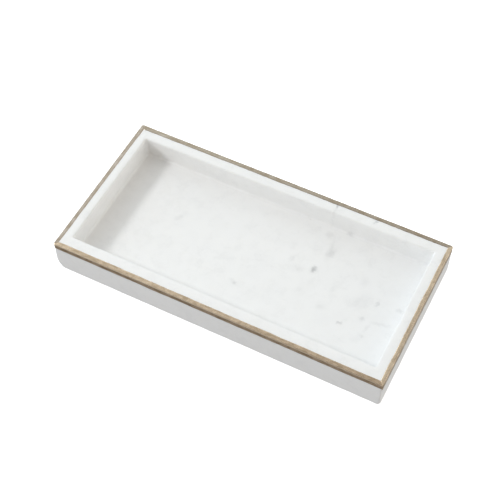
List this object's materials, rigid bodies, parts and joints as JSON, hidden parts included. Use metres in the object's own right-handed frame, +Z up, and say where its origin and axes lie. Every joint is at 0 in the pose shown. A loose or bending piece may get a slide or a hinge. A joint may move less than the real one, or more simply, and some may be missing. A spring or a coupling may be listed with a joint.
{
  "type": "vanity tray",
  "caption": "Shallow rectangular marble tray with a deep straight-walled pocket, a gilt line round the outer top edge and felt pads underneath.",
  "frame": {"origin": "under the middle of the tray, on the surface that the felt pads rest on", "axes": "+X along the long side to the right, +Y to the back, +Z up"},
  "size_m": [0.2546, 0.1274, 0.0283],
  "materials": {
    "marble": "honed white marble with faint grey veins and specks",
    "gilt": "hand-laid pale gold, satin with brush marks",
    "felt": "pressed felt",
    "adhesive": "self-adhesive film"
  },
  "bodies": {
    "root": {"tray_body": "marble", "gilt_edge_front": "gilt", "gilt_edge_back": "gilt", "gilt_edge_left": "gilt", "gilt_edge_right": "gilt", "foot_pad_front_left": "felt", "foot_pad_front_right": "felt", "foot_pad_back_left": "felt", "foot_pad_back_right": "felt", "adhesive_disc_front_left": "adhesive", "adhesive_disc_front_right": "adhesive", "adhesive_disc_back_left": "adhesive", "adhesive_disc_back_right": "adhesive"}
  },
  "joints": []
}
